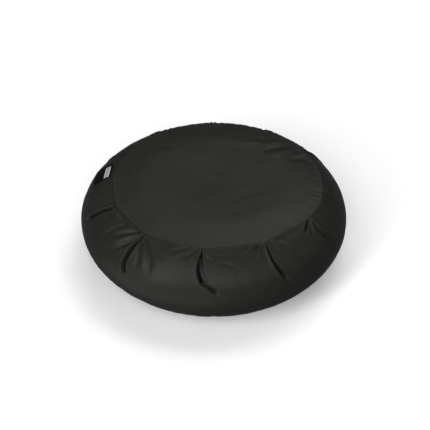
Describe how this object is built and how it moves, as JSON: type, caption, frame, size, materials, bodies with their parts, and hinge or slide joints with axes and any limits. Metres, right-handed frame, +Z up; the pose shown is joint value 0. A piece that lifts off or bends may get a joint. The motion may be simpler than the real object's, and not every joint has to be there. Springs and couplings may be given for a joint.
{
  "type": "spare tire cover",
  "caption": "Soft round cover for a spare wheel: a flat sewn face panel, a bulging pleated side band, an elastic hem behind and a folded side label.",
  "frame": {"origin": "centre of the hem, on the surface that the cover rests on", "axes": "+Z up along the wheel's axis towards the face panel, -X towards the side label, -Y front"},
  "size_m": [0.7399, 0.7399, 0.2295],
  "materials": {
    "cover_cloth": "matt black coated cloth with a fine plain weave and a faint sheen",
    "binding_tape": "black woven polyester binding tape, matt",
    "hem_tape": "black woven hem tape, gathered over the elastic, matt",
    "elastic": "black ribbed flat elastic",
    "thread": "black twisted polyester thread",
    "label_ribbon": "black woven satin ribbon with a light grey woven band"
  },
  "bodies": {
    "cover": {"face_panel": "cover_cloth", "side_band_front": "cover_cloth", "side_band_rear": "cover_cloth", "face_seam_binding": "binding_tape", "right_join_binding": "binding_tape", "left_join_binding": "binding_tape", "hem_casing": "hem_tape", "face_seam_thread": "thread", "right_join_thread": "thread", "left_join_thread": "thread", "hem_thread": "thread", "elastic_bartacks": "thread", "hem_elastic": "elastic"},
    "label": {"side_label": "label_ribbon"}
  },
  "joints": [
    {"name": "label_flip", "type": "hinge", "parent": "cover", "child": "label", "pos_m": [-0.32404, 0.0255, 0.208], "axis": [0.7135, -0.0562, 0.6984], "range_deg": [0, 165]}
  ]
}
